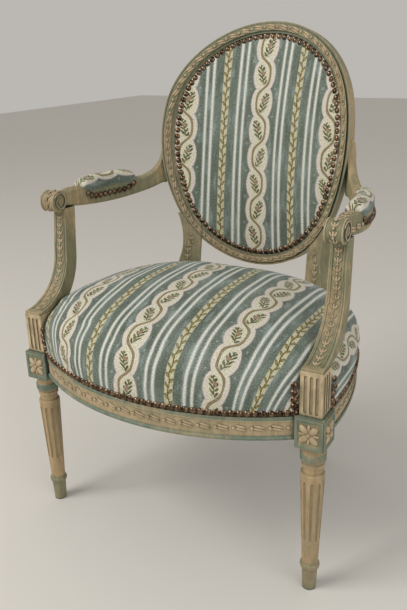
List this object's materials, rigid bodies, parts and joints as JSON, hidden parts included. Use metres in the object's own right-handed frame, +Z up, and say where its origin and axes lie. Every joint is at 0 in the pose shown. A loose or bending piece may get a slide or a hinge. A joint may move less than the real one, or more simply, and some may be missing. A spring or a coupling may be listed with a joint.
{
  "type": "upholstered armchair",
  "caption": "Open-armed upholstered chair with a concave oval back, padded scroll arms, bow-fronted domed seat and turned fluted legs, for one person to sit in.",
  "frame": {"origin": "on the floor, at the centre of the chair's bounding box", "axes": "+Z up, +X to the left hand of a person who sits in the chair, +Y towards the back, so the front faces -Y"},
  "size_m": [0.5914, 0.5566, 0.8975],
  "materials": {
    "painted_beech": "worn matte paint",
    "bare_beech": "planed, unpainted",
    "velvet": "striped cut velvet",
    "horsehair": "curled hair under wadding",
    "hessian": "plain weave",
    "jute_webbing": "twill weave",
    "bronze_nails": "antiqued",
    "steel_screws": "satin"
  },
  "bodies": {
    "root": {"arm_left": "painted_beech", "arm_pad_cover_left": "velvet", "arm_pad_cover_right": "velvet", "arm_pad_nails_left": "bronze_nails", "arm_pad_nails_right": "bronze_nails", "arm_pad_stuffing_left": "horsehair", "arm_pad_stuffing_right": "horsehair", "arm_right": "painted_beech", "arm_screws": "steel_screws", "arm_support_left": "painted_beech", "arm_support_right": "painted_beech", "back_base_rail": "painted_beech", "back_cover": "velvet", "back_crest_rail": "painted_beech", "back_hessian": "hessian", "back_joint_pegs": "bare_beech", "back_nails_front": "bronze_nails", "back_nails_rear": "bronze_nails", "back_stuffing": "horsehair", "back_webbing_across": "jute_webbing", "back_webbing_upright": "jute_webbing", "bottom_cloth": "hessian", "corner_block_front_left": "bare_beech", "corner_block_front_right": "bare_beech", "corner_block_rear_left": "bare_beech", "corner_block_rear_right": "bare_beech", "corner_block_screws": "steel_screws", "front_leg_left": "painted_beech", "front_leg_right": "painted_beech", "front_rail": "painted_beech", "outer_back_cover": "velvet", "rear_leg_left": "painted_beech", "rear_leg_right": "painted_beech", "rear_rail": "painted_beech", "seat_cover": "velvet", "seat_hessian": "hessian", "seat_joint_pegs": "bare_beech", "seat_nails_front": "bronze_nails", "seat_nails_left": "bronze_nails", "seat_nails_rear": "bronze_nails", "seat_nails_right": "bronze_nails", "seat_stuffing": "horsehair", "seat_webbing_crosswise": "jute_webbing", "seat_webbing_lengthwise": "jute_webbing", "side_rail_left": "painted_beech", "side_rail_right": "painted_beech"}
  },
  "joints": []
}
